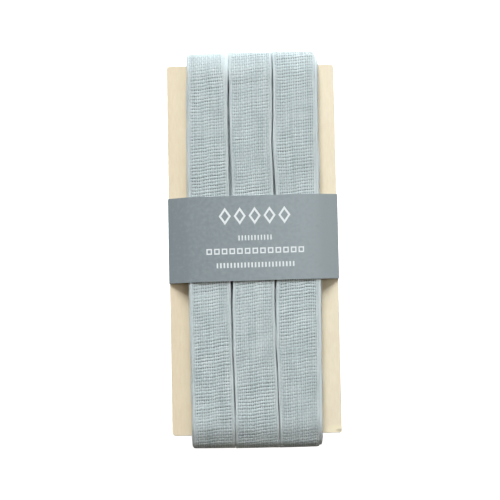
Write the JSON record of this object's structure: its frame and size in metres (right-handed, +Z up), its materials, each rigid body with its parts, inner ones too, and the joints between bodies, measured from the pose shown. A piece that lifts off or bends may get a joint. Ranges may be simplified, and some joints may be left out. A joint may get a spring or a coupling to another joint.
{
  "type": "card of cotton ribbon",
  "caption": "Flat card wound with woven cotton ribbon in side by side columns round both ends, held by a plain paper sleeve across the middle.",
  "frame": {"origin": "on the surface that the part lies on, below the middle of its bounding box", "axes": "+X across the card, +Y along the card and the ribbon's turns, +Z up through the thickness, out of the shown face"},
  "size_m": [0.0646, 0.15, 0.0102],
  "materials": {
    "board": "uncoated cream board, matt, with a faint fibre grain",
    "cotton": "coarse plain weave of soft matt cotton yarn, pale blue-grey, with smooth edges",
    "paper": "smooth matt paper, mid grey, folded to the card"
  },
  "bodies": {
    "root": {"card": "board", "ribbon_winding": "cotton", "paper_sleeve": "paper"}
  },
  "joints": []
}
